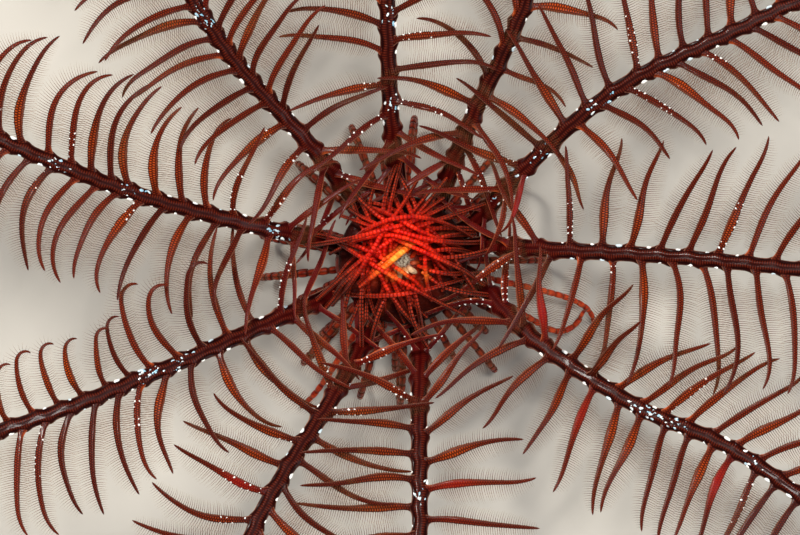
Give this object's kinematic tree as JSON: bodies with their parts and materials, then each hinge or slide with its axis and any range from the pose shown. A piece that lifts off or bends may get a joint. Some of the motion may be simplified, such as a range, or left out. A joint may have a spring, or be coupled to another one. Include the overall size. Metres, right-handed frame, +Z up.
{
  "type": "mediterranean feather star",
  "caption": "Life-size still model of a feather star, mouth side up, its feathered arms spread in a shallow bowl and its hooked cirri as feet.",
  "frame": {"origin": "middle of the model's box, on the floor that its cirri stand on", "axes": "+Z up through the mouth; +X to the right and +Y to the top of the reference view, which looks straight down"},
  "size_m": [0.171, 0.1692, 0.0303],
  "materials": {
    "arms": "wet, dark maroon arms with red-brown pinnules and pearly glints",
    "oral_pinnules": "wet, bright red beaded rods with orange joints",
    "disc": "wet, soft red-orange skin with cream bands",
    "cirri": "wet, red-brown jointed hooks with paler joints"
  },
  "bodies": {
    "root": {"calyx": "oral_pinnules", "disc": "disc", "centrodorsal": "cirri", "arm_01_inner": "arms", "arm_01_middle": "arms", "arm_01_outer": "arms", "arm_02_inner": "arms", "arm_02_middle": "arms", "arm_02_outer": "arms", "arm_03_inner": "arms", "arm_03_middle": "arms", "arm_03_outer": "arms", "arm_04_inner": "arms", "arm_04_middle": "arms", "arm_04_outer": "arms", "arm_05_inner": "arms", "arm_05_middle": "arms", "arm_05_outer": "arms", "arm_06_inner": "arms", "arm_06_middle": "arms", "arm_06_outer": "arms", "arm_07_inner": "arms", "arm_07_middle": "arms", "arm_07_outer": "arms", "arm_08_inner": "arms", "arm_08_middle": "arms", "arm_08_outer": "arms", "arm_09_inner": "arms", "arm_09_middle": "arms", "arm_09_outer": "arms", "arm_10_inner": "arms", "arm_10_middle": "arms", "arm_10_outer": "arms"}
  },
  "joints": []
}
